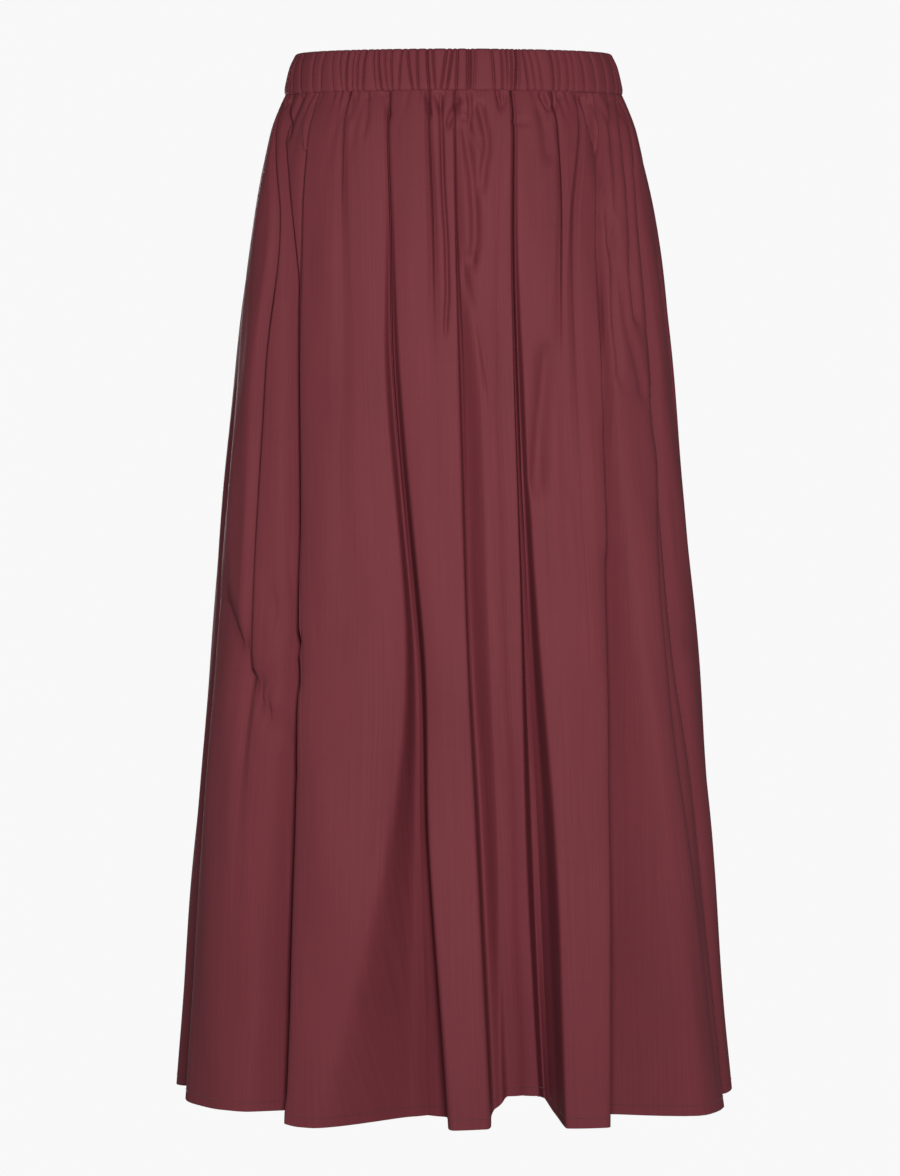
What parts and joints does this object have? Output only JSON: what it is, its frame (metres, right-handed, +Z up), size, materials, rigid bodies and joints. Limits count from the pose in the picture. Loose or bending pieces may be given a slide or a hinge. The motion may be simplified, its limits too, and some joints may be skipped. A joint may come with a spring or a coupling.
{
  "type": "maxi skirt",
  "caption": "Gathered maxi skirt with a ruched elastic waistband, in-seam side pockets and a long flared hem, held open as if worn.",
  "frame": {"origin": "centre of the waist opening, half way up the waistband", "axes": "+Z up through the waist, +X towards the right of the picture, -Y towards the front"},
  "size_m": [0.4756, 0.3817, 0.8875],
  "materials": {
    "poplin": "plain-woven cotton poplin, fine vertical slub, low sheen",
    "poplin_band": "the same poplin ruched over wide elastic",
    "pocket_cloth": "the same poplin, lying flat inside"
  },
  "bodies": {
    "root": {"waistband": "poplin_band", "skirt_front": "poplin", "skirt_back": "poplin", "pocket_left": "pocket_cloth", "pocket_right": "pocket_cloth"}
  },
  "joints": []
}
